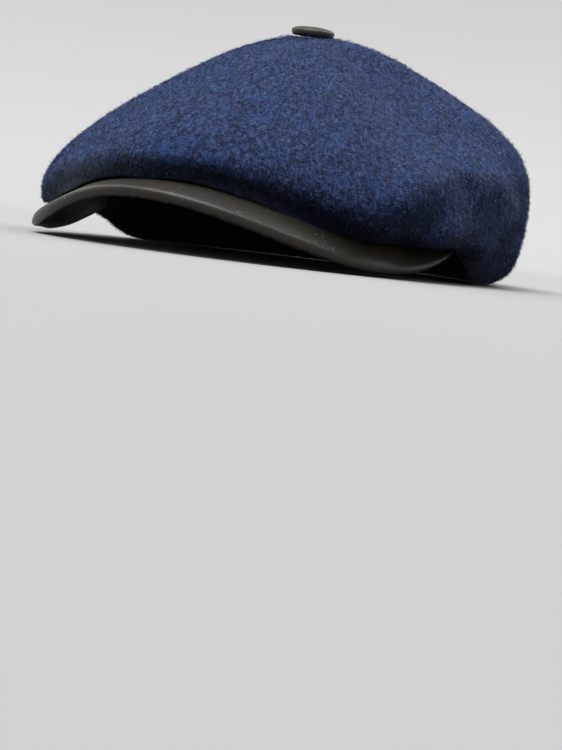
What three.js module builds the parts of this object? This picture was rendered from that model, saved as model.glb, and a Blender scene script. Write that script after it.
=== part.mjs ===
// A soft knitted winter cap: a full round crown of thick fulled wool that stands up to a covered
// button and folds forward over a stiff leather peak with a fat rolled rim.
// Millimetres, +Z up. The cap faces -Y, its wearer's left is +X, and it stands on z = 0.

import * as THREE from 'three';

// Sizes of the cloth and leather
const WOOL_WALL = 3.0;
const PIECE_GAP = 0.3;
const PEAK_BOARD = 3.2;
const RIM_RADIUS = 2.4;
const RIM_RADIUS_AT_ENDS = 1.6;
const FACING_THICKNESS = 1.2;
const FACING_INSET = 5.0;
const FACING_INSET_AT_ENDS = 0.5;
const FACING_SHARE = 0.94;

// Crown: height of its top and how far the top leans from the middle of the head opening
const CROWN_TOP = 95.6;
const CROWN_TOP_LEAN = -7.5;

// One row for each section of the crown, by its angle from the front in degrees. Lengths are
// radii from the middle of the head opening and heights over the table the cap stands on.
//   hemOut, hemUp    the edge of the cloth at the head opening
//   wideOut, wideUp  the widest point of the section
//   fold             how far the cloth turns down below the widest point
//   tuckOut, tuckUp  which way the under layer leaves the hem
//   shoulder         share of the height over the widest point that stays upright
//   flatTop          share of the radius that leaves the button level
const CROWN_SECTION_COLUMNS = [
  'angle', 'hemOut', 'hemUp', 'wideOut', 'wideUp', 'fold', 'tuckOut', 'tuckUp', 'shoulder', 'flatTop',
];
const CROWN_SECTIONS = [
  [0, 95, 34.5, 131, 31.5, 13, 24, 0, 0.16, 0.3],
  [30, 92.5, 26, 119, 22, 15, 22, -1, 0.26, 0.27],
  [55, 88.5, 17, 109.5, 21, 15.5, 18, -1, 0.25, 0.25],
  [75, 90.5, 9, 100, 33, 13, 11, 4, 0.21, 0.37],
  [95, 83, 0, 98, 44, 25, 13, 4, 0.26, 0.44],
  [115, 84, 0, 97.5, 44, 31, 14, 4, 0.3, 0.52],
  [140, 89, 0, 102.5, 46, 33, 11, 6, 0.38, 0.57],
  [180, 95, 0, 101, 46, 33, 8, 6, 0.38, 0.57],
].map((row) => Object.fromEntries(CROWN_SECTION_COLUMNS.map((key, i) => [key, row[i]])));

// Soft folds of the crown: each is a straight run from one place to the next, where along is the
// share of the way up the cloth from the hem, and lift is how far the cloth stands out or in.
const CROWN_FOLDS = [
  // Ridge behind the peak end
  { angle: 78, along: 0.14, toAngle: 108, toAlong: 0.36, width: 9, lift: 1.6 },
  // Hollow behind the ridge
  { angle: 92, along: 0.1, toAngle: 122, toAlong: 0.32, width: 9, lift: -1.8 },
  // Ridge behind the far end
  { angle: -80, along: 0.14, toAngle: -106, toAlong: 0.34, width: 9, lift: 1.3 },
  // Hollow behind the far ridge
  { angle: -93, along: 0.1, toAngle: -120, toAlong: 0.3, width: 9, lift: -1.5 },
  // Crease over the brow
  { angle: -17, along: 0.52, toAngle: -13, toAlong: 0.62, width: 6, lift: -1.1 },
  // Roll over the near half of the peak
  { angle: 48, along: 0.53, toAngle: 76, toAlong: 0.52, width: 12, lift: 4.5 },
  // Hollow under the roll
  { angle: 46, along: 0.3, toAngle: 78, toAlong: 0.26, width: 8, lift: -1.5 },
  // Slack at the back
  { angle: 150, along: 0.52, toAngle: 178, toAlong: 0.48, width: 11, lift: -1.2 },
];

// Peak: an oval brim, arched from side to side and sloping down to the front
const PEAK_HALF_WIDTH = 83.3;
const PEAK_MIDDLE_Y = -32.8;
const PEAK_REACH = 134.8;
const PEAK_END_ANGLE = 93.5;
const PEAK_SQUARENESS = 0.06;
const PEAK_FRONT_HEIGHT = 21;
const PEAK_ARCH = 0.00642;
const PEAK_SLOPE = 0.35;
const PEAK_INNER_END_ANGLE = 73;
const PEAK_UNDER_HEM = 4.5;
const BOARD_SHARE_OF_RIM = 0.68;

// Button: a covered disc with a domed top
const BUTTON_RADIUS = 9.3;
const BUTTON_HEIGHT = 4.4;
const BUTTON_EDGE = 1.8;
const BUTTON_SEAT_INSET = 0.8;
const BUTTON_DOME_FLATNESS = 0.55;

// Lengths that turn a fold's angle and share into places on the cloth
const FOLD_RADIUS = 100;
const CLOTH_LENGTH = 150;

// How gently the cloth leaves the leather it lies on, how fast it may drop past the rim, and how
// much shallower the inside of its fold is, in thicknesses of the wall
const SOFT_CROSSING = 1.6;
const RIM_DROP = 2;
const FOLD_INSIDE = 1.7;

// How finely the curves are divided
const CROWN_STEPS_ROUND = 96;
const CROWN_STEPS_TOP = 11;
const CROWN_STEPS_UNDER = 8;
const PEAK_STEPS_ALONG = 64;
const PEAK_STEPS_ACROSS = 4;
const RIM_STEPS = 8;
const BUTTON_STEPS = 32;
const BUTTON_DOME_STEPS = 9;
const RIM_SAMPLE_COUNT = 160;

const NAVY_WOOL = new THREE.MeshStandardMaterial({ color: 0x34436b, roughness: 0.95, metalness: 0 });
const OLIVE_LEATHER = new THREE.MeshStandardMaterial({ color: 0x37342a, roughness: 0.5, metalness: 0 });
const BROWN_LEATHER = new THREE.MeshStandardMaterial({ color: 0x42342a, roughness: 0.6, metalness: 0 });

const rad = THREE.MathUtils.degToRad;
const mix = THREE.MathUtils.lerp;

// Crown sections between the rows: a smooth closed curve through each column
function sectionColumn(key) {
  const mirrored = CROWN_SECTIONS.slice(1, -1).reverse().map((row) => ({ ...row, angle: 360 - row.angle }));
  const rows = [...CROWN_SECTIONS, ...mirrored];
  return (angle) => {
    const turn = ((angle % 360) + 360) % 360;
    let next = rows.findIndex((row) => row.angle > turn);
    if (next < 0) next = rows.length;
    const at = (i) => {
      const lap = Math.floor(i / rows.length);
      const row = rows[i - lap * rows.length];
      return { angle: row.angle + 360 * lap, value: row[key] };
    };
    const [a, b, c, d] = [at(next - 2), at(next - 1), at(next), at(next + 1)];
    const span = c.angle - b.angle;
    const t = (turn - b.angle) / span;
    const slopeB = ((c.value - a.value) / (c.angle - a.angle)) * span;
    const slopeC = ((d.value - b.value) / (d.angle - b.angle)) * span;
    const startSlope = b.value === 0 ? 0 : slopeB;
    const endSlope = c.value === 0 ? 0 : slopeC;
    return (2 * t ** 3 - 3 * t ** 2 + 1) * b.value + (t ** 3 - 2 * t ** 2 + t) * startSlope
      + (3 * t ** 2 - 2 * t ** 3) * c.value + (t ** 3 - t ** 2) * endSlope;
  };
}

const section = Object.fromEntries(CROWN_SECTION_COLUMNS.map((key) => [key, sectionColumn(key)]));

// Peak surface: the height of the middle of the board, and how steep it is there
function peakMiddle(x, y) {
  return PEAK_FRONT_HEIGHT - PEAK_ARCH * x * x + PEAK_SLOPE * (y + PEAK_REACH);
}

function peakNormal(x) {
  return new THREE.Vector3(2 * PEAK_ARCH * x, -PEAK_SLOPE, 1).normalize();
}

// Where the peak's rim runs, and the inner edge that the crown is sewn to
function rimPoint(share) {
  const angle = rad(PEAK_END_ANGLE * share);
  const x = PEAK_HALF_WIDTH * Math.sin(angle) * (1 + PEAK_SQUARENESS * Math.cos(angle) ** 2);
  const y = PEAK_MIDDLE_Y - (PEAK_REACH + PEAK_MIDDLE_Y) * Math.cos(angle);
  return new THREE.Vector2(x, y);
}

function innerPoint(share) {
  const angle = PEAK_INNER_END_ANGLE * share;
  const radius = section.hemOut(angle) - PEAK_UNDER_HEM;
  return new THREE.Vector2(radius * Math.sin(rad(angle)), -radius * Math.cos(rad(angle)));
}

const RIM_SAMPLES = Array.from(
  { length: RIM_SAMPLE_COUNT + 1 },
  (_, i) => rimPoint((2 * i) / RIM_SAMPLE_COUNT - 1),
);

// Radius of the rim's outline in the direction of an angle from the front, or 0 past its ends
function rimReach(angle) {
  const bearing = (p) => THREE.MathUtils.radToDeg(Math.atan2(p.x, -p.y));
  for (let i = 1; i < RIM_SAMPLES.length; i += 1) {
    const [a, b] = [RIM_SAMPLES[i - 1], RIM_SAMPLES[i]];
    const [from, to] = [bearing(a), bearing(b)];
    if (angle >= from && angle <= to) return mix(a.length(), b.length(), (angle - from) / (to - from));
  }
  return 0;
}

function rimRadius(share) {
  return mix(RIM_RADIUS, RIM_RADIUS_AT_ENDS, Math.abs(share) ** 4);
}

// The lowest height that leaves cloth a given distance clear of the leather under it. It
// follows the level top, rounds over the rim and drops away outside it.
function clearOverPeak(x, y, reach, clear) {
  const pastRim = Math.max(0, Math.hypot(x, y) - reach);
  const steep = 1 / peakNormal(x).z;
  const fall = RIM_RADIUS - Math.sqrt(Math.max(0, RIM_RADIUS ** 2 - pastRim ** 2));
  const outside = Math.max(0, pastRim - RIM_RADIUS) * RIM_DROP;
  return peakMiddle(x, y) + (PEAK_BOARD / 2 - fall - outside + clear) * steep;
}

// The greater of two heights, rounded off where they cross
function softGreater(a, b) {
  return (a + b + Math.hypot(a - b, SOFT_CROSSING)) / 2;
}

function bezier(t, a, b, c, d) {
  const s = 1 - t;
  return a * s ** 3 + 3 * b * s * s * t + 3 * c * s * t * t + d * t ** 3;
}

// How far the folds lift the cloth at an angle and a share of the way up from the hem
function foldLift(angle, along) {
  const place = new THREE.Vector2(rad(angle) * FOLD_RADIUS, along * CLOTH_LENGTH);
  let lift = 0;
  for (const fold of CROWN_FOLDS) {
    const from = new THREE.Vector2(rad(fold.angle) * FOLD_RADIUS, fold.along * CLOTH_LENGTH);
    const run = new THREE.Vector2(rad(fold.toAngle) * FOLD_RADIUS, fold.toAlong * CLOTH_LENGTH).sub(from);
    const share = THREE.MathUtils.clamp(place.clone().sub(from).dot(run) / run.lengthSq(), 0, 1);
    const distance = place.distanceTo(from.clone().addScaledVector(run, share));
    lift += fold.lift * Math.exp(-((distance / fold.width) ** 2));
  }
  return lift;
}

// A face of one section, from the button down to the hem: the outside where inward is 0, and
// the inside where it is the thickness of the wall
function sectionFace(angle, inward) {
  const reach = rimReach(angle);
  const liesOnPeak = reach > 0;
  const wideOut = section.wideOut(angle);
  const wideUp = section.wideUp(angle);
  const points = [];
  for (let i = 0; i <= CROWN_STEPS_TOP; i += 1) {
    const t = i / CROWN_STEPS_TOP;
    const shoulderUp = mix(wideUp, CROWN_TOP, section.shoulder(angle));
    const radius = bezier(t, 0, section.flatTop(angle) * wideOut, wideOut, wideOut);
    points.push(new THREE.Vector2(radius, bezier(t, CROWN_TOP, CROWN_TOP, shoulderUp, wideUp)));
  }
  const offset = points.map((point, i) => {
    const lift = foldLift(angle, 1 - i / (CROWN_STEPS_TOP + CROWN_STEPS_UNDER));
    return outwardAt(points, i).multiplyScalar(lift - inward);
  });
  points.forEach((point, i) => point.add(offset[i]));
  points[0].set(0, CROWN_TOP - inward);

  const hem = new THREE.Vector2(section.hemOut(angle), section.hemUp(angle));
  const tuck = hem.clone().add(new THREE.Vector2(section.tuckOut(angle), section.tuckUp(angle)));
  hem.add(liesOnPeak ? new THREE.Vector2(0, inward) : new THREE.Vector2(-inward, 0));
  tuck.add(liesOnPeak ? new THREE.Vector2(0, inward) : new THREE.Vector2(-inward, inward / 2));
  const wide = points[CROWN_STEPS_TOP].clone();
  const turn = Math.max(section.fold(angle) - FOLD_INSIDE * inward, 1);
  for (let i = 1; i <= CROWN_STEPS_UNDER; i += 1) {
    const t = i / CROWN_STEPS_UNDER;
    const radius = bezier(t, wide.x, wide.x, tuck.x, hem.x);
    const point = new THREE.Vector2(radius, bezier(t, wide.y, wide.y - turn, tuck.y, hem.y));
    const along = 1 - (CROWN_STEPS_TOP + i) / (CROWN_STEPS_TOP + CROWN_STEPS_UNDER);
    point.x += foldLift(angle, along) * (1 - t);
    if (liesOnPeak) {
      const x = radius * Math.sin(rad(angle));
      const y = -radius * Math.cos(rad(angle));
      point.y = softGreater(point.y, clearOverPeak(x, y, reach, PIECE_GAP + inward));
    }
    points.push(point);
  }
  return points;
}

function outwardAt(points, i) {
  const before = points[Math.max(i - 1, 0)];
  const after = points[Math.min(i + 1, points.length - 1)];
  const run = after.clone().sub(before).normalize();
  if (i === points.length - 1) return new THREE.Vector2(1, 0);
  return new THREE.Vector2(-run.y, run.x);
}

// The whole wall of one section: down the inside, across the hem and up the outside
function wallSection(angle) {
  const signed = angle > 180 ? angle - 360 : angle;
  return [...sectionFace(signed, WOOL_WALL), ...sectionFace(signed, 0).reverse()];
}

// Crown: a turned shell whose every section is then given its own shape
function makeCrown() {
  const geometry = new THREE.LatheGeometry(wallSection(0), CROWN_STEPS_ROUND);
  const position = geometry.attributes.position;
  const perSection = position.count / (CROWN_STEPS_ROUND + 1);
  for (let step = 0; step <= CROWN_STEPS_ROUND; step += 1) {
    const angle = (360 * (step % CROWN_STEPS_ROUND)) / CROWN_STEPS_ROUND;
    const wall = wallSection(angle);
    wall.forEach((point, i) => {
      const top = CROWN_TOP - WOOL_WALL;
      const lean = CROWN_TOP_LEAN * THREE.MathUtils.smoothstep(point.y, section.wideUp(angle), top);
      const x = point.x * Math.sin(rad(angle));
      const y = -point.x * Math.cos(rad(angle)) + lean;
      position.setXYZ(step * perSection + i, x, y, point.y);
    });
  }
  geometry.computeVertexNormals();
  return named('crown', geometry, NAVY_WOOL);
}

// A strip that runs along the peak from its left end to its right. outlineAt gives its outline
// for a share of the way from the middle to an end, as distances out and up from a first point,
// and placeAt sets such a point in the peak.
function alongPeak(outlineAt, placeAt) {
  const endOutline = outlineAt(1);
  const geometry = new THREE.ExtrudeGeometry(new THREE.Shape(endOutline), {
    steps: PEAK_STEPS_ALONG, depth: 1, bevelEnabled: false,
  });
  const position = geometry.attributes.position;
  const corner = new THREE.Vector2();
  for (let v = 0; v < position.count; v += 1) {
    corner.set(position.getX(v), position.getY(v));
    const distances = endOutline.map((point) => point.distanceTo(corner));
    const index = distances.indexOf(Math.min(...distances));
    const share = 1 - 2 * position.getZ(v);
    const point = placeAt(share, outlineAt(share)[index]);
    position.setXYZ(v, point.x, point.y, point.z);
  }
  geometry.computeVertexNormals();
  return geometry;
}

// A place on the peak's middle surface, pushed up or down square to it
function onPeak(flat, off) {
  const middle = new THREE.Vector3(flat.x, flat.y, peakMiddle(flat.x, flat.y));
  return middle.addScaledVector(peakNormal(flat.x), off);
}

// The straight line across the peak, from under the crown out to the middle of the rim
function placeAcross(share, point) {
  const inner = innerPoint(share);
  const outward = rimPoint(share).sub(inner).normalize();
  return onPeak(inner.addScaledVector(outward, point.x), point.y);
}

function widthAcross(share) {
  return rimPoint(share).distanceTo(innerPoint(share));
}

// Peak: the leather-covered board. Its top runs level into the rim, which hangs below it like a
// cord and leaves a groove behind itself.
function peakOutline(share) {
  const width = widthAcross(share);
  const radius = rimRadius(share);
  const half = Math.min(PEAK_BOARD / 2, radius * BOARD_SHARE_OF_RIM);
  const rimUp = half - radius;
  const groove = Math.PI + Math.asin((half + rimUp) / radius);
  const boardWidth = width + radius * Math.cos(groove);
  const points = [];
  for (let i = 0; i < PEAK_STEPS_ACROSS; i += 1) {
    points.push(new THREE.Vector2((boardWidth * i) / PEAK_STEPS_ACROSS, -half));
  }
  for (let i = 0; i <= RIM_STEPS; i += 1) {
    const turn = mix(groove, 2.5 * Math.PI, i / RIM_STEPS);
    points.push(new THREE.Vector2(width + radius * Math.cos(turn), rimUp + radius * Math.sin(turn)));
  }
  for (let i = PEAK_STEPS_ACROSS - 1; i >= 0; i -= 1) {
    points.push(new THREE.Vector2((width * i) / PEAK_STEPS_ACROSS, half));
  }
  return points;
}

// Facing: the thin leather under the board, set in from the rim
function facingOutline(share) {
  const width = widthAcross(share * FACING_SHARE);
  const across = width - Math.min(FACING_INSET, width * FACING_INSET_AT_ENDS);
  const top = -PEAK_BOARD / 2 - PIECE_GAP;
  const points = [];
  for (let i = 0; i <= PEAK_STEPS_ACROSS; i += 1) {
    points.push(new THREE.Vector2((across * i) / PEAK_STEPS_ACROSS, top - FACING_THICKNESS));
  }
  for (let i = PEAK_STEPS_ACROSS; i >= 0; i -= 1) {
    points.push(new THREE.Vector2((across * i) / PEAK_STEPS_ACROSS, top));
  }
  return points;
}

function placeFacing(share, point) {
  return placeAcross(share * FACING_SHARE, point);
}

// Button: turned, with a flat seat, an upright edge and a domed top
function makeButton() {
  const outline = [new THREE.Vector2(0, 0), new THREE.Vector2(BUTTON_RADIUS - BUTTON_SEAT_INSET, 0)];
  for (let i = 0; i <= BUTTON_DOME_STEPS; i += 1) {
    const turn = (Math.PI / 2) * (i / BUTTON_DOME_STEPS);
    const radius = BUTTON_RADIUS * Math.cos(turn) ** BUTTON_DOME_FLATNESS;
    outline.push(new THREE.Vector2(radius, BUTTON_EDGE + (BUTTON_HEIGHT - BUTTON_EDGE) * Math.sin(turn)));
  }
  outline[outline.length - 1].x = 0;
  const geometry = new THREE.LatheGeometry(outline, BUTTON_STEPS);
  const mesh = named('button', geometry, OLIVE_LEATHER);
  mesh.rotation.x = Math.PI / 2;
  mesh.position.set(0, CROWN_TOP_LEAN, CROWN_TOP + PIECE_GAP);
  return mesh;
}

function named(name, geometry, material) {
  const mesh = new THREE.Mesh(geometry, material);
  mesh.name = name;
  return mesh;
}

const cap = new THREE.Group();
cap.add(makeCrown());
cap.add(named('peak', alongPeak(peakOutline, placeAcross), OLIVE_LEATHER));
cap.add(named('peak_facing', alongPeak(facingOutline, placeFacing), BROWN_LEATHER));
cap.add(makeButton());

// The origin is under the middle of the whole cap
const reach = new THREE.Box3().setFromObject(cap);
cap.position.y = -(reach.min.y + reach.max.y) / 2;

export default cap;
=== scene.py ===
"""A soft knitted winter cap: fulled wool crown, leather peak with a rolled rim, covered button.

Metres, +Z up. The cap faces -Y, its wearer's left is +X, and it stands on z = 0.
"""

import math

import bmesh
import bpy
from bpy.props import FloatProperty, FloatVectorProperty, IntProperty, PointerProperty
from mathutils import Matrix, Vector, noise
from mathutils.bvhtree import BVHTree


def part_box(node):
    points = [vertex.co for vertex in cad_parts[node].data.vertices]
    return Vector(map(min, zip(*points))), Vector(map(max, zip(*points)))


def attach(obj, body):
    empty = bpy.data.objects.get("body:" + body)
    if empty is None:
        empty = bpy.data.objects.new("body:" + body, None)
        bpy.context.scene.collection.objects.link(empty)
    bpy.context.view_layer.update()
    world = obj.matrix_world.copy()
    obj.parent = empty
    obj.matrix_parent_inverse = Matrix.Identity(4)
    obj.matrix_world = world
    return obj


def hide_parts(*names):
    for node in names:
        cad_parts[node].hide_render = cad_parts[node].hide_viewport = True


bl_info = {
    "name": "Winter Cap",
    "version": (1, 0, 0),
    "blender": (4, 5, 0),
    "location": "View3D > Sidebar > Winter Cap",
    "description": "Dresses the frame of a knitted winter cap with wool, leather and fuzz",
    "category": "Object",
}

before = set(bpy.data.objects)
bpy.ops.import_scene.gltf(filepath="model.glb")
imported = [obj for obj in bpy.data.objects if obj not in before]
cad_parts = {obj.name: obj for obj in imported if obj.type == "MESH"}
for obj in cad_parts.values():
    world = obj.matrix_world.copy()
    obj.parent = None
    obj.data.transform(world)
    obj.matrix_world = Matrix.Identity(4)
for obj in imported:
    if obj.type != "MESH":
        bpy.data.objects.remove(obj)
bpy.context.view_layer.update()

MM = 0.001
BUTTON_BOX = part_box("button")
BUTTON_MIDDLE = (BUTTON_BOX[0] + BUTTON_BOX[1]) / 2
BUTTON_FOOT = Vector((BUTTON_MIDDLE.x, BUTTON_MIDDLE.y, BUTTON_BOX[0].z))
BUTTON_RADIUS = BUTTON_BOX[1].x - BUTTON_MIDDLE.x
BUTTON_HEIGHT = BUTTON_BOX[1].z - BUTTON_BOX[0].z

# The middle of the head opening, and the place inside the crown that its folds stand out from
HEAD_AXIS_Y = BUTTON_MIDDLE.y + 7.5 * MM
CROWN_HEART = Vector((0, HEAD_AXIS_Y, 42 * MM))

# The photograph's frame, and the lens that suits it
PHOTO_SIZE = (562, 750)
FOCAL_PIXELS = 1500
SENSOR_HEIGHT = 36


class CapCrownSettings(bpy.types.PropertyGroup):
    """Sizes and colours of the knitted crown"""

    wave_height: FloatProperty(
        name="Wave height",
        description="How far the slack of the cloth stands in and out",
        default=0.7 * MM,
        subtype="DISTANCE",
        unit="LENGTH",
    )
    wave_length: FloatProperty(
        name="Wave length",
        description="Distance from one soft wave of the cloth to the next",
        default=38 * MM,
        subtype="DISTANCE",
        unit="LENGTH",
    )
    wale_width: FloatProperty(
        name="Wale width",
        description="Width of one column of stitches at the widest place",
        default=1.45 * MM,
        subtype="DISTANCE",
        unit="LENGTH",
    )
    dark_wool: FloatVectorProperty(
        name="Dark wool",
        description="Colour of the darkest fibres of the blend",
        default=(0.012, 0.0135, 0.021),
        subtype="COLOR",
    )
    navy_wool: FloatVectorProperty(
        name="Navy wool",
        description="Colour of most of the blend",
        default=(0.027, 0.047, 0.142),
        subtype="COLOR",
    )
    pale_wool: FloatVectorProperty(
        name="Pale wool",
        description="Colour of the lightest fibres of the blend",
        default=(0.135, 0.2, 0.4),
        subtype="COLOR",
    )
    azure_wool: FloatVectorProperty(
        name="Azure wool",
        description="Colour of the clouds of brighter fibres",
        default=(0.03, 0.085, 0.25),
        subtype="COLOR",
    )
    violet_wool: FloatVectorProperty(
        name="Violet wool",
        description="Colour of the clouds of warmer fibres",
        default=(0.045, 0.045, 0.13),
        subtype="COLOR",
    )


class CapFuzzSettings(bpy.types.PropertyGroup):
    """Sizes and colours of the loose fibres on the wool"""

    fibre_length: FloatProperty(
        name="Fibre length",
        description="Length of a loose fibre",
        default=2.6 * MM,
        subtype="DISTANCE",
        unit="LENGTH",
    )
    fibre_width: FloatProperty(
        name="Fibre width",
        description="Width of a loose fibre",
        default=0.11 * MM,
        subtype="DISTANCE",
        unit="LENGTH",
    )
    fibres: IntProperty(
        name="Fibres",
        description="Number of loose fibres in each layer of fuzz",
        default=32000,
    )


class CapLeatherSettings(bpy.types.PropertyGroup):
    """Sizes and colours of the leather"""

    olive: FloatVectorProperty(
        name="Olive leather",
        description="Colour of the leather on the peak and the button",
        default=(0.021, 0.0175, 0.0105),
        subtype="COLOR",
    )
    brown: FloatVectorProperty(
        name="Brown leather",
        description="Colour of the facing under the peak",
        default=(0.07, 0.042, 0.024),
        subtype="COLOR",
    )
    grain: FloatProperty(
        name="Grain",
        description="Width of one pebble of the grain",
        default=0.55 * MM,
        subtype="DISTANCE",
        unit="LENGTH",
    )
    gather_depth: FloatProperty(
        name="Gather depth",
        description="Depth of the gathers in the leather under the rim",
        default=0.45 * MM,
        subtype="DISTANCE",
        unit="LENGTH",
    )


class CapStageSettings(bpy.types.PropertyGroup):
    """Place of the camera, and the shade of the floor"""

    camera_distance: FloatProperty(
        name="Camera distance",
        description="Level distance from the head opening's middle to the camera",
        default=0.66005,
        subtype="DISTANCE",
        unit="LENGTH",
    )
    camera_height: FloatProperty(
        name="Camera height",
        description="Height of the camera over the floor",
        default=0.01454,
        subtype="DISTANCE",
        unit="LENGTH",
    )
    camera_aside: FloatProperty(
        name="Camera aside",
        description="How far left of the line to the cap the camera stands",
        default=-0.00148,
        subtype="DISTANCE",
        unit="LENGTH",
    )
    camera_turn: FloatProperty(
        name="Camera turn",
        description="Turn of the camera round the cap from straight in front",
        default=math.radians(25.3),
        subtype="ANGLE",
        unit="ROTATION",
    )
    camera_pitch: FloatProperty(
        name="Camera pitch",
        description="Tilt of the camera up from level",
        default=math.radians(-5.64),
        subtype="ANGLE",
        unit="ROTATION",
    )
    camera_roll: FloatProperty(
        name="Camera roll",
        description="Turn of the camera about its own line of sight",
        default=math.radians(7.17),
        subtype="ANGLE",
        unit="ROTATION",
    )
    floor_shade: FloatProperty(
        name="Floor shade",
        description="Brightness of the pale floor",
        default=0.43,
        min=0,
        max=1,
    )


# Numbers of the Mix node's sockets for colours: its inputs, and its output
MIX_SHARE = 0
MIX_FIRST = 6
MIX_SECOND = 7
MIX_RESULT = 2


class Value:
    """A socket of a node tree that takes part in Python expressions."""

    def __init__(self, tree, socket):
        self.tree = tree
        self.socket = socket

    def math(self, operation, *values):
        return self.tree.node("ShaderNodeMath", {"operation": operation}, dict(enumerate(values)))

    def __add__(self, other):
        return self.math("ADD", self, other)

    __radd__ = __add__

    def __sub__(self, other):
        return self.math("SUBTRACT", self, other)

    def __rsub__(self, other):
        return self.math("SUBTRACT", other, self)

    def __mul__(self, other):
        return self.math("MULTIPLY", self, other)

    def __pow__(self, other):
        return self.math("POWER", self, other)

    def sine(self):
        return self.math("SINE", self)

    def step(self, low, high):
        """0 up to low, 1 past high, and smooth between them."""
        return self.tree.node(
            "ShaderNodeMapRange",
            {"interpolation_type": "SMOOTHSTEP"},
            {"Value": self, "From Min": low, "From Max": high},
        )


class Tree:
    """Adds nodes to a material or to a geometry group."""

    def __init__(self, tree):
        self.tree = tree
        self.tree.nodes.clear()

    def node(self, kind, settings=None, sockets=None, output=0):
        made = self.tree.nodes.new(kind)
        for key, value in (settings or {}).items():
            setattr(made, key, value)
        for key, value in (sockets or {}).items():
            if isinstance(value, Value):
                self.tree.links.new(value.socket, made.inputs[key])
            else:
                made.inputs[key].default_value = value
        return Value(self, made.outputs[output]) if made.outputs else made

    def mixed(self, first, second, share):
        """The first color where share is 0 and the second where it is 1."""
        colors = [c if isinstance(c, Value) else (*c, 1) for c in (first, second)]
        sockets = {MIX_SHARE: share, MIX_FIRST: colors[0], MIX_SECOND: colors[1]}
        made = self.node("ShaderNodeMix", {"data_type": "RGBA"}, sockets)
        return Value(self, made.socket.node.outputs[MIX_RESULT])


class Paint(Tree):
    """One material, painted in the object's own coordinates."""

    def __init__(self, name):
        self.material = bpy.data.materials.new(name)
        self.material.use_nodes = True
        super().__init__(self.material.node_tree)
        self.place = self.node("ShaderNodeTexCoord", {}, {}, "Object")

    def parts(self, vector):
        split = self.node("ShaderNodeSeparateXYZ", {}, {"Vector": vector}).socket.node
        return [Value(self, out) for out in split.outputs]

    def vector(self, x, y, z):
        return self.node("ShaderNodeCombineXYZ", {}, {"X": x, "Y": y, "Z": z})

    def noise(self, size, detail=2.0, roughness=0.5, where=None):
        """Soft noise from 0 to 1 whose lumps are about as wide as size."""
        sockets = {
            "Vector": where or self.place,
            "Scale": 1 / size,
            "Detail": detail,
            "Roughness": roughness,
        }
        return self.node("ShaderNodeTexNoise", {}, sockets)

    def cells(self, size, feature):
        sockets = {"Vector": self.place, "Scale": 1 / size}
        return self.node("ShaderNodeTexVoronoi", {"feature": feature}, sockets)

    def attribute(self, name):
        """A number that the mesh carries at each of its places."""
        return self.node("ShaderNodeAttribute", {"attribute_name": name}, {}, "Fac")

    def raised(self, height, distance, strength=1.0):
        """A normal from a height of 0 to 1 that stands for a distance."""
        sockets = {"Height": height, "Distance": distance, "Strength": strength}
        return self.node("ShaderNodeBump", {}, sockets)

    def finish(self, settings):
        """Puts the surface together and returns the material."""
        surface = self.node("ShaderNodeBsdfPrincipled", {}, settings)
        self.node("ShaderNodeOutputMaterial", {}, {"Surface": surface})
        return self.material


# How wide the lumps of each pattern in the wool and in the leather are
WOOL_PATTERNS = {
    "fleck": 1.5 * MM,
    "fine fleck": 0.8 * MM,
    "speck": 1.0 * MM,
    "cloud": 9 * MM,
    "wobble": 3.5 * MM,
    "worn patch": 16 * MM,
    "azure cloud": 11 * MM,
    "violet cloud": 7 * MM,
}
LEATHER_PATTERNS = {"cloud": 14 * MM, "scuff": 2.2 * MM, "dust": 0.9 * MM}

# The wales are hidden near the top and fade in between these distances from the middle
WALES_SHOW = (25 * MM, 60 * MM)

# How far the flecks of the wool, and the grain of the leather, stand up
WOOL_RELIEF = 1.6 * MM
GRAIN_RELIEF = 0.2 * MM

# Pale dust in the leather's grain, and how rough each leather is
DUST_COLOR = (0.35, 0.33, 0.3)
LEATHER_ROUGHNESS = {"peak": 0.34, "button": 0.4, "facing": 0.5}


def azure_clouds(paint):
    """Where brighter fibres gather, alike on the cloth and in the fuzz over it."""
    return paint.noise(WOOL_PATTERNS["azure cloud"], 3.0, 0.6).step(0.5, 0.7)


def crown_coordinates(paint):
    """Places on the crown as lengths round it and along it, so that patterns follow the knit."""
    x, y, z = paint.parts(paint.place)
    back = y - HEAD_AXIS_Y
    angle = paint.node("ShaderNodeMath", {"operation": "ARCTAN2"}, {0: x, 1: back * -1})
    reach = (x * x + back * back) ** 0.5
    return angle, reach, z


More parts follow.
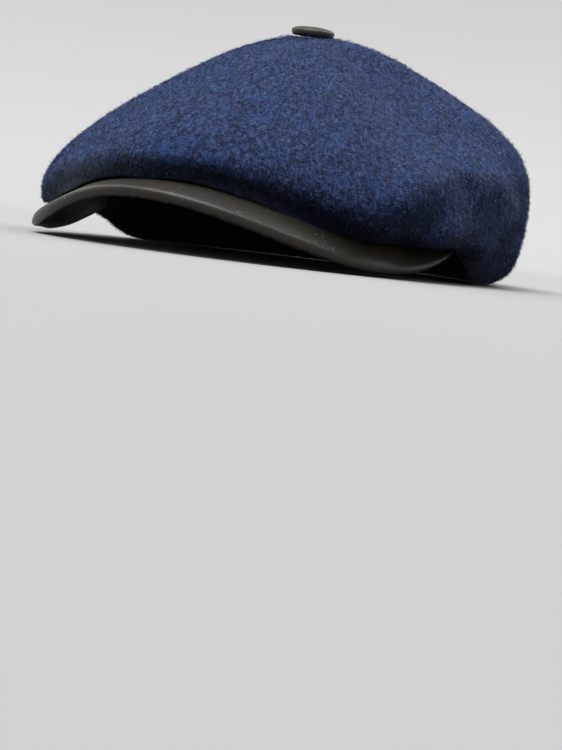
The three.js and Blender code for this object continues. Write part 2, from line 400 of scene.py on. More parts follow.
def paint_wool(crown):
    """Fulled knit of a navy, dark and pale blend: flecked, matt and fuzzy."""
    paint = Paint("Fulled wool knit")
    angle, reach, z = crown_coordinates(paint)
    round_cap = angle * WIDE_RADIUS
    drawn = paint.vector(round_cap, reach * KNIT_STRETCH, z * KNIT_STRETCH)
    fleck = paint.noise(WOOL_PATTERNS["fleck"], 3.0, 0.7, drawn)
    fine_fleck = paint.noise(WOOL_PATTERNS["fine fleck"], 2.0, 0.6)
    speck = paint.noise(WOOL_PATTERNS["speck"], 1.0, 0.5)
    cloud = paint.noise(WOOL_PATTERNS["cloud"], 2.0, 0.5)
    wales = round(2 * math.pi * WIDE_RADIUS / crown.wale_width)
    wobble = paint.noise(WOOL_PATTERNS["wobble"], 2.0, 0.5) * 5
    columns = (angle * wales + wobble).sine() * 0.5 + 0.5
    worn = paint.noise(WOOL_PATTERNS["worn patch"], 1.0, 0.5).step(0.35, 0.65)
    shown_columns = columns * reach.step(*WALES_SHOW) * worn

    light = fleck.step(0.38, 0.62) * 0.6 + fine_fleck.step(0.4, 0.64) * 0.3
    light = light + shown_columns * 0.06 + cloud * 0.14
    base = paint.mixed(crown.dark_wool, crown.navy_wool, light.step(0.1, 0.55))
    color = paint.mixed(base, crown.pale_wool, light.step(0.55, 1.05) * 0.6)
    color = paint.mixed(color, crown.pale_wool, speck.step(0.62, 0.74) * 0.6)
    color = paint.mixed(color, crown.azure_wool, azure_clouds(paint) * 0.45)
    violet_clouds = paint.noise(WOOL_PATTERNS["violet cloud"], 2.0, 0.5).step(0.55, 0.75)
    color = paint.mixed(color, crown.violet_wool, violet_clouds * 0.3)

    # Painted shade: the wool is darkened near the leather, where shade falls under the overhang
    pressed = paint.attribute("pressed") * 0.85
    color = paint.mixed(color, [c * 0.4 for c in crown.dark_wool], pressed)

    height = fleck * 0.5 + fine_fleck * 0.35 + shown_columns * 0.12
    return paint.finish({
        "Base Color": color,
        "Roughness": 0.95,
        "Specular IOR Level": 0.08,
        "Sheen Weight": 0.26,
        "Sheen Roughness": 0.45,
        "Sheen Tint": (0.55, 0.62, 0.82, 1),
        "Normal": paint.raised(height, WOOL_RELIEF, 1.0),
    })


def paint_fibres(name, crown, paleness):
    """Loose fibres, from navy to pale, each of one shade."""
    paint = Paint(name)
    shade = paint.attribute("shade")
    pale = [c * paleness for c in crown.pale_wool]
    base = paint.mixed(crown.navy_wool, crown.azure_wool, azure_clouds(paint) * 0.5)
    base = paint.mixed(crown.dark_wool, base, shade.step(-0.1, 0.35))
    color = paint.mixed(base, pale, shade.step(0.35, 1.0))
    # Painted shade: the fibres are darkened near the leather, as the wool under them is
    pressed = paint.attribute("pressed") * 0.8
    color = paint.mixed(color, [c * 0.5 for c in crown.dark_wool], pressed)
    return paint.finish({
        "Base Color": color,
        "Roughness": 0.9,
        "Specular IOR Level": 0.2,
    })


def paint_leather(name, color, leather, roughness):
    """Fine grained leather with a soft sheen: cloudy, scuffed paler, and rougher in its pores."""
    paint = Paint(name)
    pebbles = paint.cells(leather.grain, "SMOOTH_F1")
    pores = paint.cells(leather.grain * 1.7, "F1").step(0.0, 0.35)
    cloud = paint.noise(LEATHER_PATTERNS["cloud"], 3.0, 0.6)
    scuff = paint.noise(LEATHER_PATTERNS["scuff"], 4.0, 0.7)
    dust = paint.noise(LEATHER_PATTERNS["dust"], 0.0, 0.5).step(0.79, 0.83)
    dark = [c * 0.72 for c in color]
    pale = [c * 1.45 for c in color]
    tone = paint.mixed(dark, color, cloud.step(0.3, 0.6))
    tone = paint.mixed(tone, pale, scuff.step(0.52, 0.78) * 0.5)
    tone = paint.mixed(tone, DUST_COLOR, dust * 0.7)
    height = pebbles * 0.6 + scuff * 0.3 + pores * 0.1
    return paint.finish({
        "Base Color": tone,
        "Roughness": roughness + scuff * 0.14 + (1 - pores) * 0.1,
        "Specular IOR Level": 0.45,
        "Normal": paint.raised(height, GRAIN_RELIEF, 0.9),
    })


# Radius that lengths round the crown are measured at, and how the knit is drawn out along it
WIDE_RADIUS = 100 * MM
KNIT_STRETCH = 0.5

# Soft folds of the cloth, as straight runs between two places: how wide they are, and how far
# they stand out from inside the crown or sink into it, all in millimetres
CROWN_FOLDS = [
    {"name": "roll over the near half of the peak",
     "start": (79, -61, 29), "end": (86, -32, 50), "width": 8, "lift": 2.6},
    {"name": "hollow under that roll",
     "start": (84, -56, 15), "end": (93, -27, 36), "width": 9, "lift": -4.6},
    {"name": "hollow along the near side",
     "start": (95, -22, 24), "end": (96, -8, 32), "width": 8, "lift": -1.6},
    {"name": "bulge behind the hollow",
     "start": (93, 14, 50), "end": (98, 26, 40), "width": 13, "lift": 1.2},
    {"name": "ridge up from the near end",
     "start": (91, -8, 10), "end": (98, 16, 33), "width": 5, "lift": 2.4},
    {"name": "hollow behind that ridge",
     "start": (95, 9, 11), "end": (97, 30, 24), "width": 8, "lift": -3.2},
    {"name": "ridge up from the far end",
     "start": (-92, -12, 14), "end": (-97, 20, 40), "width": 7, "lift": 1.4},
    {"name": "hollow behind the far ridge",
     "start": (-95, 6, 14), "end": (-96, 40, 34), "width": 10, "lift": -1.8},
    {"name": "crease over the brow",
     "start": (10, -112, 32), "end": (1, -99, 46), "width": 3, "lift": -0.8},
    {"name": "dip over the far brow",
     "start": (-40, -76, 48), "end": (-18, -56, 69), "width": 14, "lift": -2.4},
    {"name": "fullness at the far brow",
     "start": (-56, -86, 24), "end": (-54, -86, 32), "width": 8, "lift": 1.4},
    {"name": "fullness in front of the top",
     "start": (-8, -36, 82), "end": (-14, -46, 77), "width": 10, "lift": 1.2},
    {"name": "fullness beside the button",
     "start": (14, 5, 94), "end": (38, 9, 87), "width": 11, "lift": 2.4},
    {"name": "fullness on the button's far side",
     "start": (-14, 4, 94), "end": (-24, -4, 90), "width": 9, "lift": 1.0},
    {"name": "flat beside the top",
     "start": (54, 13, 80), "end": (68, 17, 73), "width": 9, "lift": -1.4},
    {"name": "fullness over the near side",
     "start": (78, 24, 67), "end": (88, 26, 59), "width": 11, "lift": 3.2},
    {"name": "flat above the widest place",
     "start": (97, 14, 46), "end": (98, 20, 38), "width": 9, "lift": -2.0},
    {"name": "fullness low on the near side",
     "start": (97, 30, 25), "end": (91, 42, 10), "width": 12, "lift": 2.2},
    {"name": "slack behind the top",
     "start": (30, 66, 90), "end": (-28, 72, 88), "width": 16, "lift": 1.4},
]

# How deep the loose fibres lie on the cloth
FUZZ_DEPTH = 0.6 * MM

# The cloth is taut up to the first distance from the leather, and slack after the second more.
# Over the floor it is slack after the second alone
SLACK_CLEARANCE = 1.5 * MM
SLACK_FADE = 7 * MM

# Small waves of the slack, in shares of the big ones, and shifted to fall apart from them
SMALL_WAVE_LENGTH = 0.4
SMALL_WAVE_HEIGHT = 0.3
SMALL_WAVE_SHIFT = Vector((7, 3, 5))

# The tuck of the wool over the peak: how far above the leather it is deepest, how wide and deep
TUCK_HEIGHT = 5 * MM
TUCK_WIDTH = 5 * MM
TUCK_DEPTH = 5 * MM
TUCK_START = (math.radians(-12), math.radians(12))
TUCK_END = (math.radians(50), math.radians(80))

# Between these distances from the leather the painted shade on the wool fades from full to none
PAINTED_SHADE_REACH = (4 * MM, 10 * MM)

# How far the far end of the peak hangs down. It fades in and out between these turns in degrees
# round the head opening from the front, and fades in between these heights
FAR_END_DROOP = 2.2 * MM
DROOP_START = (-62, -42)
DROOP_END = (-22, -6)
DROOP_HEIGHTS = (2 * MM, 7 * MM)

# Between these distances from the leather the wool stops hanging down with it
DROOP_IN_WOOL = (3 * MM, 9 * MM)

# Where the wool hangs lowest over the peak, as turns in degrees round the head opening from the
# front, and how far in millimetres
SAGS = [
    {"name": "over the far half of the peak", "angles": (-36, 6), "depth": 3.0},
    {"name": "over the near half of the peak", "angles": (20, 54), "depth": 1.8},
]

# A sag is full up to the first share of half its width, and ends at the second
SAG_SHARES = (0.6, 1.2)

# Between these distances from the leather the sag of the wool starts, and ends
SAG_START = (0.6 * MM, 4 * MM)
SAG_END = (4.5 * MM, 10 * MM)

# Gathers in the leather under the rim: where they fade in, round the head opening from the front,
# how many waves of noise a radian has, and how much finer and weaker the small ones are
GATHER_START = (math.radians(-14), math.radians(6))
GATHER_WAVES = 60
SMALL_GATHER_WAVES = 2.3
SMALL_GATHER_SHARE = 0.5
SMALL_GATHER_SHIFT = Vector((0, 9, 0))

# Below this noise the leather is drawn in, and this much faster than the noise falls
GATHER_LIMIT = 0.28
GATHER_SLOPE = 3

# The gathers fade in between these shares of facing down, and distances from the facing
GATHER_FACING_DOWN = (-0.1, 0.6)
GATHER_OFF_FACING = (0.6 * MM, 2 * MM)

# Slow waves of the gathered leather, a radian's number of them and their height
RIM_WAVES = 9
RIM_WAVE_SHIFT = 4
RIM_WAVE_HEIGHT = 0.12 * MM

# Uneven hide of the peak: how long and high its waves are
HIDE_WAVE_LENGTH = 22 * MM
HIDE_WAVE_HEIGHT = 0.1 * MM

# Fullness of the rim at its far end: how far it stands out, where, how wide in radians, and
# between which shares of facing the front it fades in
FAR_END_FULLNESS = 1.6 * MM
FAR_END_TURN = -0.53
FAR_END_WIDTH = 0.2
FAR_END_FACING_FRONT = (0.1, 0.6)

# The button leans towards this side, and the wool swells round its foot
BUTTON_LEAN_SIDE = Vector((0.43, -0.9, 0)).normalized()
BUTTON_LEAN = math.radians(7)
BUTTON_SWELL = 0.6 * MM

# In radii of the button, how far its seat in the wool reaches, where the swell is and how wide
SEAT_REACH = 2.2
SWELL_PLACE = 1.12
SWELL_WIDTH = 0.2

# Between these depths under the button's foot the seat fades in
SEAT_DEPTHS = (16 * MM, 8 * MM)

# How much paler the leather of the button is than that of the peak
BUTTON_PALENESS = 1.8

# Outline of the button from the middle of its foot to its top, in shares of its radius and height
BUTTON_OUTLINE = [
    (0, 0), (0.86, 0), (0.95, 0.1), (0.99, 0.3), (1, 0.48),
    (0.985, 0.6), (0.93, 0.72), (0.8, 0.83), (0.5, 0.95), (0, 1),
]
BUTTON_SIDES = 40

# Pleats round the button's side: their waves of noise and depth, the share of its height that
# they end at and the length they fade over, and the share of its radius that they start at
PLEAT_WAVES = 5
PLEAT_DEPTH = 0.4 * MM
PLEAT_TOP = 0.55
PLEAT_FADE = 1.2 * MM
PLEAT_START = 0.6

# Uneven hide of the button: how long and high its waves are
BUTTON_WAVE_LENGTH = 5 * MM
BUTTON_WAVE_HEIGHT = 0.14 * MM

# Vertices this close are one, and triangles that bend and skew less than this become one face
MERGE_DISTANCE = 1e-6
JOIN_BEND = math.radians(50)
JOIN_SKEW = math.radians(60)


def smooth(value, low, high):
    """0 up to low, 1 past high, and smooth between them."""
    share = min(max((value - low) / (high - low), 0), 1)
    return share * share * (3 - 2 * share)


def turn_from_front(place):
    """The angle of a place round the head opening, from the front towards the wearer's left."""
    return math.atan2(place.x, HEAD_AXIS_Y - place.y)


def node_copy(node, name):
    """A new object with a merged copy of a node's mesh, its triangles joined to four-sided faces."""
    shape = bmesh.new()
    shape.from_mesh(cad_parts[node].data)
    bmesh.ops.remove_doubles(shape, verts=shape.verts, dist=MERGE_DISTANCE)
    bmesh.ops.join_triangles(
        shape,
        faces=shape.faces,
        angle_face_threshold=JOIN_BEND,
        angle_shape_threshold=JOIN_SKEW,
    )
    return new_object(shape, name)


def spun_shape(profile, sides, merge_distance):
    """The shape that a line of places makes when it turns once round the upright axis."""
    shape = bmesh.new()
    verts = [shape.verts.new(point) for point in profile]
    edges = [shape.edges.new(pair) for pair in zip(verts, verts[1:])]
    bmesh.ops.spin(
        shape,
        geom=verts + edges,
        cent=(0, 0, 0),
        axis=(0, 0, 1),
        angle=math.tau,
        steps=sides,
        use_merge=True,
    )
    bmesh.ops.remove_doubles(shape, verts=shape.verts, dist=merge_distance)
    bmesh.ops.recalc_face_normals(shape, faces=shape.faces)
    return shape


def new_object(shape, name):
    mesh = bpy.data.meshes.new(name)
    shape.to_mesh(mesh)
    shape.free()
    mesh.shade_smooth()
    made = bpy.data.objects.new(name, mesh)
    bpy.context.scene.collection.objects.link(made)
    return made


def bake_modifiers(piece):
    """Gives a piece the mesh that its modifiers make, and takes them off."""
    graph = bpy.context.evaluated_depsgraph_get()
    graph.update()
    mesh = bpy.data.meshes.new_from_object(piece.evaluated_get(graph), depsgraph=graph)
    piece.modifiers.clear()
    piece.data = mesh
    mesh.name = piece.name


def subdivide(piece, levels):
    divide = piece.modifiers.new("Subdivision", "SUBSURF")
    divide.levels = levels
    divide.render_levels = levels
    bake_modifiers(piece)


def sculpt(piece, move):
    """Moves each vertex by the vector that move gives for its place and normal."""
    shape = bmesh.new()
    shape.from_mesh(piece.data)
    shape.normal_update()
    moves = [move(v.co.copy(), v.normal.copy()) for v in shape.verts]
    for vert, step in zip(shape.verts, moves):
        vert.co += step
    shape.to_mesh(piece.data)
    shape.free()
    piece.data.shade_smooth()


def node_surface(node):
    """What finds the nearest place on a node."""
    shape = bmesh.new()
    shape.from_mesh(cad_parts[node].data)
    surface = BVHTree.FromBMesh(shape)
    shape.free()
    return surface


def dress(piece, material, slot, *nodes):
    """Finishes a piece: its material, what it stands for and what it rides on. The slot is not used.
    """
    piece.data.materials.clear()
    piece.data.materials.append(material)
    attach(piece, "root")
    if nodes:
        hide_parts(*nodes)


def fold_lift(place):
    """How far the folds of the cloth stand out at a place, all together."""
    lift = 0
    for fold in CROWN_FOLDS:
        start = Vector(fold["start"]) * MM
        run = Vector(fold["end"]) * MM - start
        share = min(max((place - start).dot(run) / run.length_squared, 0), 1)
        distance = (place - start - run * share).length
        lift += fold["lift"] * MM * math.exp(-((distance / (fold["width"] * MM)) ** 2))
    return lift


def droop(place):
    """How far the far end of the peak, and the wool that lies on it, hang down."""
    turn = math.degrees(turn_from_front(place))
    along = (1 - smooth(turn, *DROOP_END)) * smooth(turn, *DROOP_START)
    return FAR_END_DROOP * along * smooth(place.z, *DROOP_HEIGHTS)


def sag(turn, gap):
    """How far wool that stands this far off the leather hangs down over the peak."""
    down = smooth(gap, *SAG_START) * (1 - smooth(gap, *SAG_END))
    depth = 0
    for stretch in SAGS:
        start, end = [math.radians(angle) for angle in stretch["angles"]]
        middle, half = (start + end) / 2, (end - start) / 2
        edges = [half * share for share in SAG_SHARES]
        depth += stretch["depth"] * MM * (1 - smooth(abs(turn - middle), *edges))
    return depth * down


def out_from_button(place):
    """The level way to a place from the middle of the button."""
    return Vector((place.x - BUTTON_MIDDLE.x, place.y - BUTTON_MIDDLE.y, 0))


def button_seat(place):
    """How the wool under the leaning button sinks and rises with it."""
    out = out_from_button(place)
    beside = 1 - smooth(out.length, BUTTON_RADIUS, BUTTON_RADIUS * SEAT_REACH)
    above = smooth(place.z, *[BUTTON_FOOT.z - depth for depth in SEAT_DEPTHS])
    off_swell = (out.length - BUTTON_RADIUS * SWELL_PLACE) / (BUTTON_RADIUS * SWELL_WIDTH)
    swell = BUTTON_SWELL * math.exp(-(off_swell ** 2))
    sunk = out.dot(BUTTON_LEAN_SIDE) * math.tan(BUTTON_LEAN) * beside
    return Vector((0, 0, (swell - sunk) * above))


class CAP_OT_crown(bpy.types.Operator):
    """Make the knitted crown"""

    bl_idname = "winter_cap.crown"
    bl_label = "Crown"

    def execute(self, context):
        settings = context.scene.cap_crown
        crown = node_copy("crown", "knitted_crown")
        subdivide(crown, 2)
        leather = node_surface("peak")

        def slack(place, normal):
            gap = leather.find_nearest(place)[3]
            turn = turn_from_front(place)
            free = smooth(min(gap - SLACK_CLEARANCE, place.z), 0, SLACK_FADE)
            wave = noise.noise(place / settings.wave_length)
            small_length = settings.wave_length * SMALL_WAVE_LENGTH
            small_wave = noise.noise(place / small_length + SMALL_WAVE_SHIFT)
            waves = settings.wave_height * (wave + SMALL_WAVE_HEIGHT * small_wave)
            lift = fold_lift(place) + waves - FUZZ_DEPTH
            out = Vector((place.x, place.y - HEAD_AXIS_Y, 0)).normalized()
            off_tuck = (gap - TUCK_HEIGHT) / TUCK_WIDTH
            tuck = TUCK_DEPTH * math.exp(-(off_tuck ** 2)) * smooth(turn, *TUCK_START)
            tuck *= 1 - smooth(turn, *TUCK_END)
            down = sag(turn, gap) + droop(place) * (1 - smooth(gap, *DROOP_IN_WOOL))
            fold = (place - CROWN_HEART).normalized() * lift * free
            return fold - out * tuck - Vector((0, 0, down)) + button_seat(place)

        sculpt(crown, slack)
        # Painted shade: how near each place is to the leather sets how much it is darkened
        gaps = [leather.find_nearest(vert.co)[3] for vert in crown.data.vertices]
        pressed = crown.data.attributes.new("pressed", "FLOAT", "POINT")
        pressed.data.foreach_set("value", [1 - smooth(gap, *PAINTED_SHADE_REACH) for gap in gaps])
        dress(crown, paint_wool(settings), "wool", "crown")
        return {"FINISHED"}


# Loose fibres as points along the middle of each, in shares of its length: along, aside, up
FIBRE_SHAPES = {
    "lying": [(0, 0, -0.06), (0.3, 0.04, 0.08), (0.62, 0.12, 0.13), (0.95, 0.06, 0.1)],
    "curled": [(0, 0, -0.06), (0.18, -0.08, 0.14), (0.42, -0.2, 0.2), (0.5, -0.42, 0.17)],
    "rising": [(0, 0, -0.06), (0.12, 0.02, 0.22), (0.32, 0.1, 0.42), (0.55, 0.14, 0.58)],
    "looped": [(0, 0, -0.06), (0.28, 0.05, 0.15), (0.56, 0.0, 0.12), (0.74, -0.08, -0.02)],
}

# Layers of fuzz: the shapes of their fibres, how long these are and how many in shares of the
# settings, and how much paler than the pale wool their palest fibre is. The rising layer's palest
# fibres are partly painted highlight, standing in for light that fibres catch at the edges
FUZZ_LAYERS = [
    {"name": "fuzz_lying", "shapes": ["lying", "curled"], "seed": 3,
     "size": 0.9, "share": 1.0, "paleness": 1.3},
    {"name": "fuzz_looped", "shapes": ["looped", "lying"], "seed": 11,
     "size": 0.8, "share": 1.0, "paleness": 1.2},
    {"name": "fuzz_crossed", "shapes": ["curled", "looped"], "seed": 23,
     "size": 1.0, "share": 1.0, "paleness": 1.5},
    # Painted highlight: the rising fibres are paler, for the light they catch along the edges
    {"name": "fuzz_rising", "shapes": ["rising", "curled"], "seed": 37,
     "size": 0.9, "share": 0.6, "paleness": 1.9},
]


# How far a fibre twists from one of its points to the next, in degrees
FIBRE_TWIST = 35

# How far a fibre tilts off the cloth at most, in radians, and by how much its size varies
FIBRE_TILT = 0.35
SMALLEST_FIBRE = 0.55
LARGEST_FIBRE = 1.35

# The fuzz grows on faces that look out by more than this share, and that are at least this far
# over the floor and off the leather
FUZZ_OUTWARD = 0.1
FUZZ_OVER_FLOOR = 1 * MM
FUZZ_OFF_LEATHER = 1.5 * MM


def make_fibre(shape_name, length, width):
    """A ribbon of three lengths that twists and ends in a point."""
    points = [Vector(point) * length for point in FIBRE_SHAPES[shape_name]]
    shape = bmesh.new()
    pairs = []
    for step, point in enumerate(points[:-1]):
        turn = math.radians(FIBRE_TWIST * step)
        aside = Vector((0, math.cos(turn), math.sin(turn))) * width / 2
        pairs.append([shape.verts.new(point - aside), shape.verts.new(point + aside)])
    tip = shape.verts.new(points[-1])
    for (a, b), (c, d) in zip(pairs, pairs[1:]):
        shape.faces.new((a, b, d, c))
    shape.faces.new((*pairs[-1], tip))
    return new_object(shape, "fibre_" + shape_name)


def scatter_fibres(name, skin, fibres, count, seed):
    """A geometry group that sets fibres all over the skin, each turned and sized by chance."""
    group = bpy.data.node_groups.new(name, "GeometryNodeTree")
    group.interface.new_socket("Geometry", in_out="INPUT", socket_type="NodeSocketGeometry")
    group.interface.new_socket("Geometry", in_out="OUTPUT", socket_type="NodeSocketGeometry")
    tree = Tree(group)
    cloth = tree.node("NodeGroupInput")
    area = sum(face.area for face in skin.polygons)
    scatter = tree.node(
        "GeometryNodeDistributePointsOnFaces",
        {},
        {"Mesh": cloth, "Density": count / area, "Seed": seed},
    )
    upright = Value(tree, scatter.socket.node.outputs["Rotation"])
    least_turn = (-FIBRE_TILT, -FIBRE_TILT, 0)
    most_turn = (FIBRE_TILT, FIBRE_TILT, math.tau)
    turn = tree.node(
        "FunctionNodeRandomValue",
        {"data_type": "FLOAT_VECTOR"},
        {"Min": least_turn, "Max": most_turn, "Seed": seed + 1},
    )
    turned = tree.node(
        "FunctionNodeRotateRotation",
        {"rotation_space": "LOCAL"},
        {0: upright, 1: turn},
    )
    # Sockets 2 and 3 are this node's limits for plain numbers, and output 1 is its plain number
    size = tree.node(
        "FunctionNodeRandomValue",
        {"data_type": "FLOAT"},
        {2: SMALLEST_FIBRE, 3: LARGEST_FIBRE, "Seed": seed + 2},
        1,
    )
    join = tree.tree.nodes.new("GeometryNodeJoinGeometry")
    for fibre in fibres:
        shown = tree.node("GeometryNodeObjectInfo", {}, {"Object": fibre}, "Geometry")
        single = tree.node("GeometryNodeGeometryToInstance", {}, {0: shown})
        tree.tree.links.new(single.socket, join.inputs[0])
    placed = tree.node(
        "GeometryNodeInstanceOnPoints",
        {},
        {
            "Points": scatter,
            "Instance": Value(tree, join.outputs[0]),
            "Pick Instance": True,
            "Rotation": turned,
            "Scale": size,
        },
    )
    chance = tree.node("FunctionNodeRandomValue", {"data_type": "FLOAT"}, {"Seed": seed + 3}, 1)
    shaded = tree.node(
        "GeometryNodeStoreNamedAttribute",
        {"data_type": "FLOAT", "domain": "INSTANCE"},
        {"Geometry": placed, "Name": "shade", "Value": chance},
    )
    real = tree.node("GeometryNodeRealizeInstances", {}, {"Geometry": shaded})
    tree.node("NodeGroupOutput", {}, {0: real})
    return group


def outer_skin(piece, name):
    """A copy of a piece without what looks inwards or is against the floor or the leather."""
    shape = bmesh.new()
    shape.from_mesh(piece.data)
    leather = node_surface("peak")
    hidden = []
    for face in shape.faces:
        middle = face.calc_center_median()
        out = middle - CROWN_HEART
        inward = face.normal.dot(out) < FUZZ_OUTWARD * out.length
        gap = leather.find_nearest(middle)[3]
        if inward or middle.z < FUZZ_OVER_FLOOR or gap < FUZZ_OFF_LEATHER:
            hidden.append(face)
    bmesh.ops.delete(shape, geom=hidden, context="FACES")
    return new_object(shape, name)


class CAP_OT_fuzz(bpy.types.Operator):
    """Cover the wool with loose fibres"""

    bl_idname = "winter_cap.fuzz"
    bl_label = "Fuzz"

    def execute(self, context):
        settings = context.scene.cap_fuzz
        crown = context.scene.cap_crown
        for layer in FUZZ_LAYERS:
            fibres = [
                make_fibre(shape, settings.fibre_length * layer["size"], settings.fibre_width)
                for shape in layer["shapes"]
            ]
            fuzz = outer_skin(bpy.data.objects["knitted_crown"], layer["name"])
            count = round(settings.fibres * layer["share"])
            seed = layer["seed"]
            spread = fuzz.modifiers.new("Fibres", "NODES")
            spread.node_group = scatter_fibres(layer["name"], fuzz.data, fibres, count, seed)
            bake_modifiers(fuzz)
            for fibre in fibres:
                bpy.data.objects.remove(fibre)
            wool = paint_fibres("Wool of " + layer["name"], crown, layer["paleness"])
            dress(fuzz, wool, "wool")
        return {"FINISHED"}


class CAP_OT_peak(bpy.types.Operator):
    """Make the leather peak with its rolled rim"""

    bl_idname = "winter_cap.peak"
    bl_label = "Peak"

    def execute(self, context):
        settings = context.scene.cap_leather
        peak = node_copy("peak", "leather_peak")
        subdivide(peak, 3)
        facing = node_surface("peak_facing")

        def gathers(place, normal):
            gap = facing.find_nearest(place)[3]
            under = smooth(-normal.z, *GATHER_FACING_DOWN) * smooth(gap, *GATHER_OFF_FACING)
            turn = turn_from_front(place)
            along = Vector((turn * GATHER_WAVES, 0, 0))
            small_pinch = noise.noise(along * SMALL_GATHER_WAVES + SMALL_GATHER_SHIFT)
            pinch = abs(noise.noise(along)) + SMALL_GATHER_SHARE * abs(small_pinch)
            drawn_in = max(0, GATHER_LIMIT - pinch) * GATHER_SLOPE
            gather = settings.gather_depth * drawn_in * smooth(turn, *GATHER_START)
            wave = noise.noise(Vector((turn * RIM_WAVES, RIM_WAVE_SHIFT, 0))) * RIM_WAVE_HEIGHT
            hide = noise.noise(place / HIDE_WAVE_LENGTH) * HIDE_WAVE_HEIGHT
            off_far_end = (turn - FAR_END_TURN) / FAR_END_WIDTH
            far_end = FAR_END_FULLNESS * math.exp(-(off_far_end ** 2))
            far_end *= smooth(-normal.y, *FAR_END_FACING_FRONT)
            down = Vector((0, 0, droop(place)))
            return normal * (under * (wave - gather) + hide + far_end) - down

        sculpt(peak, gathers)
        roughness = LEATHER_ROUGHNESS["peak"]
        material = paint_leather("Olive leather", settings.olive, settings, roughness)
        dress(peak, material, "leather", "peak")
        return {"FINISHED"}


class CAP_OT_facing(bpy.types.Operator):
    """Make the thin leather under the peak"""

    bl_idname = "winter_cap.facing"
    bl_label = "Facing"

    def execute(self, context):
        settings = context.scene.cap_leather
        facing = node_copy("peak_facing", "leather_facing")
        subdivide(facing, 2)
        sculpt(facing, lambda place, normal: Vector((0, 0, -droop(place))))
        roughness = LEATHER_ROUGHNESS["facing"]
        material = paint_leather("Brown leather", settings.brown, settings, roughness)
        dress(facing, material, "facing_leather", "peak_facing")
        return {"FINISHED"}


class CAP_OT_button(bpy.types.Operator):
    """Make the covered button"""

    bl_idname = "winter_cap.button"
    bl_label = "Button"

    def execute(self, context):
        settings = context.scene.cap_leather
        outline = [(out * BUTTON_RADIUS, 0, up * BUTTON_HEIGHT) for out, up in BUTTON_OUTLINE]
        shape = spun_shape(outline, BUTTON_SIDES, MERGE_DISTANCE)
        lean = Matrix.Rotation(BUTTON_LEAN, 4, Vector((0, 0, 1)).cross(BUTTON_LEAN_SIDE))
        placed = Matrix.Translation(BUTTON_FOOT) @ lean
        bmesh.ops.transform(shape, matrix=placed, verts=shape.verts)
        button = new_object(shape, "covered_button")
        subdivide(button, 2)
        pleat_top = BUTTON_FOOT.z + BUTTON_HEIGHT * PLEAT_TOP

        def pleats(place, normal):
            out = out_from_button(place)
            beside = smooth(out.length, PLEAT_START * BUTTON_RADIUS, BUTTON_RADIUS)
            low = smooth(pleat_top - place.z, 0, PLEAT_FADE) * beside
            pleat = abs(noise.noise(out.normalized() * PLEAT_WAVES))
            hide = noise.noise(place / BUTTON_WAVE_LENGTH) * BUTTON_WAVE_HEIGHT
            return normal * (hide - low * pleat * PLEAT_DEPTH)

        sculpt(button, pleats)
        worn = [c * BUTTON_PALENESS for c in settings.olive]
        material = paint_leather("Button leather", worn, settings, LEATHER_ROUGHNESS["button"])
        dress(button, material, "leather", "button")
        return {"FINISHED"}


# The pale cove round the cap, as places out from its middle and up
COVE_LEVEL = 1.3
COVE_CURVE = 0.9
COVE_WALL = 2.6
COVE_CURVE_STEPS = 16
COVE_SIDES = 96
COVE_MERGE_DISTANCE = 1e-5

# The cove gives off some light of its own, which fades in between these distances from its middle
COVE_GLOW = 0.8
COVE_GLOW_REACH = (0.3, 1.9)

# How much blue the floor's colour has for each part of red and green
FLOOR_BLUE = 0.985

# The sky: its strength below and what it gains above, its colour below and above, and the
# heights of view between which each changes
SKY_STRENGTH = 0.055
SKY_GAIN = 0.41
SKY_GAIN_HEIGHTS = (-0.1, 0.8)
SKY_COLORS = [(1, 0.7, 0.42), (0.93, 0.96, 1)]
SKY_COLOR_HEIGHTS = (-0.3, 0.35)

# Nearest and farthest that the camera sees
CLIP_START = 0.01
CLIP_END = 20

# Soft lights: where each stands, how wide it is, and its power in watts
SOFT_LIGHTS = [
    {"name": "overhead", "place": (-0.2, -0.32, 1.75), "width": 1.3, "power": 31},
    {"name": "from behind", "place": (0.45, 1.2, 1.3), "width": 1.0, "power": 11},
    {"name": "from the far side", "place": (-1.3, 0.2, 0.9), "width": 0.8, "power": 5},
]


def camera_matrix(stage):
    """The camera's place and turn, from the angles that the photograph was taken at."""
    turn, pitch, roll = stage.camera_turn, stage.camera_pitch, stage.camera_roll
    right = Vector((math.cos(turn), math.sin(turn), 0))
    level = math.cos(pitch)
    ahead = Vector((-math.sin(turn) * level, math.cos(turn) * level, math.sin(pitch)))
    up = right.cross(ahead)
    place = Vector((math.sin(turn), -math.cos(turn), 0)) * stage.camera_distance
    place += Vector((0, HEAD_AXIS_Y, stage.camera_height)) - right * stage.camera_aside
    rolled_right = right * math.cos(roll) + up * math.sin(roll)
    rolled_up = up * math.cos(roll) - right * math.sin(roll)
    turned = Matrix((rolled_right, rolled_up, -ahead)).transposed().to_4x4()
    return Matrix.Translation(place) @ turned


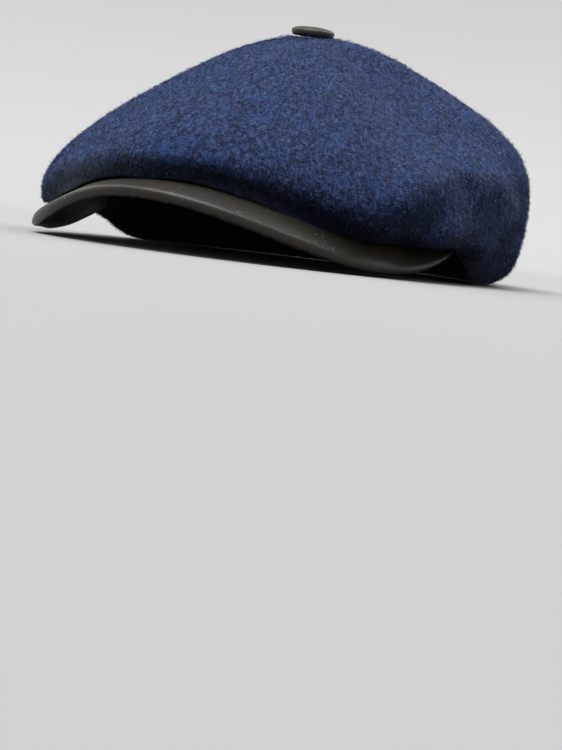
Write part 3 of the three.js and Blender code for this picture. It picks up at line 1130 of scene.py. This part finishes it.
class CAP_OT_stage(bpy.types.Operator):
    """Set the pale floor, the soft light and the camera"""

    bl_idname = "winter_cap.stage"
    bl_label = "Stage"

    def execute(self, context):
        stage = context.scene.cap_stage
        self.make_cove(stage)
        self.make_lights()
        self.make_sky()
        self.make_camera(context, stage)
        return {"FINISHED"}

    def make_cove(self, stage):
        """A floor that curves up into a wall all round."""
        profile = [Vector((0, 0, 0)), Vector((COVE_LEVEL, 0, 0))]
        for step in range(1, COVE_CURVE_STEPS + 1):
            turn = math.pi / 2 * step / COVE_CURVE_STEPS
            out = COVE_LEVEL + COVE_CURVE * math.sin(turn)
            profile.append(Vector((out, 0, COVE_CURVE * (1 - math.cos(turn)))))
        profile.append(Vector((COVE_LEVEL + COVE_CURVE, 0, COVE_WALL)))
        cove = new_object(spun_shape(profile, COVE_SIDES, COVE_MERGE_DISTANCE), "pale_cove")
        paint = Paint("Pale floor")
        shade = stage.floor_shade
        x, y, _ = paint.parts(paint.place)
        reach = (x * x + y * y) ** 0.5
        glow = paint.mixed((0, 0, 0), (shade, shade, shade), reach.step(*COVE_GLOW_REACH))
        material = paint.finish({
            "Base Color": (shade, shade, shade * FLOOR_BLUE, 1),
            "Roughness": 0.9,
            "Emission Color": glow,
            "Emission Strength": COVE_GLOW,
        })
        cove.data.materials.append(material)
        cove.visible_diffuse = False
        cove.visible_shadow = False

    def make_lights(self):
        """Wide soft lights, each aimed at the cap."""
        for light in SOFT_LIGHTS:
            lamp = bpy.data.lights.new("light " + light["name"], "AREA")
            lamp.size = light["width"]
            lamp.energy = light["power"]
            holder = bpy.data.objects.new(lamp.name, lamp)
            place = Vector(light["place"])
            aim = place - Vector((0, 0, CROWN_HEART.z))
            turned = aim.to_track_quat("Z", "Y").to_matrix().to_4x4()
            holder.matrix_world = Matrix.Translation(place) @ turned
            bpy.context.scene.collection.objects.link(holder)

    def make_sky(self):
        """Even daylight that is warmer and weaker from below."""
        world = bpy.data.worlds.new("Soft daylight")
        world.use_nodes = True
        tree = Tree(world.node_tree)
        direction = tree.node("ShaderNodeTexCoord", {}, {}, "Generated")
        height = tree.node("ShaderNodeSeparateXYZ", {}, {"Vector": direction}, "Z")
        strength = height.step(*SKY_GAIN_HEIGHTS) * SKY_GAIN + SKY_STRENGTH
        color = tree.mixed(*SKY_COLORS, height.step(*SKY_COLOR_HEIGHTS))
        sky = tree.node("ShaderNodeBackground", {}, {"Color": color, "Strength": strength})
        tree.node("ShaderNodeOutputWorld", {}, {"Surface": sky})
        bpy.context.scene.world = world

    def make_camera(self, context, stage):
        lens = bpy.data.cameras.new("photo_camera")
        lens.sensor_fit = "VERTICAL"
        lens.sensor_height = SENSOR_HEIGHT
        lens.lens = FOCAL_PIXELS * SENSOR_HEIGHT / PHOTO_SIZE[1]
        lens.clip_start = CLIP_START
        lens.clip_end = CLIP_END
        camera = bpy.data.objects.new("photo_camera", lens)
        camera.matrix_world = camera_matrix(stage)
        context.scene.collection.objects.link(camera)
        context.scene.camera = camera
        context.scene.view_settings.view_transform = "Standard"


class CAP_PT_sidebar(bpy.types.Panel):
    """Lists the cap's pieces and their settings"""

    bl_idname = "CAP_PT_sidebar"
    bl_label = "Winter Cap"
    bl_space_type = "VIEW_3D"
    bl_region_type = "UI"
    bl_category = "Winter Cap"

    def draw(self, context):
        for operator in OPERATORS:
            self.layout.operator(operator.bl_idname)
        for name, group in SETTINGS.items():
            box = self.layout.box()
            settings = getattr(context.scene, name)
            for key in group.__annotations__:
                box.prop(settings, key)


OPERATORS = [CAP_OT_stage, CAP_OT_crown, CAP_OT_fuzz, CAP_OT_peak, CAP_OT_facing, CAP_OT_button]
SETTINGS = {
    "cap_crown": CapCrownSettings,
    "cap_fuzz": CapFuzzSettings,
    "cap_leather": CapLeatherSettings,
    "cap_stage": CapStageSettings,
}


def register():
    for group in SETTINGS.values():
        bpy.utils.register_class(group)
    for operator in OPERATORS:
        bpy.utils.register_class(operator)
    bpy.utils.register_class(CAP_PT_sidebar)
    for name, group in SETTINGS.items():
        setattr(bpy.types.Scene, name, PointerProperty(type=group))


def unregister():
    for name in SETTINGS:
        delattr(bpy.types.Scene, name)
    bpy.utils.unregister_class(CAP_PT_sidebar)
    for operator in reversed(OPERATORS):
        bpy.utils.unregister_class(operator)
    for group in reversed(SETTINGS.values()):
        bpy.utils.unregister_class(group)


def main():
    register()
    bpy.ops.winter_cap.stage()
    bpy.ops.winter_cap.crown()
    bpy.ops.winter_cap.fuzz()
    bpy.ops.winter_cap.peak()
    bpy.ops.winter_cap.facing()
    bpy.ops.winter_cap.button()


if __name__ == "__main__":
    main()
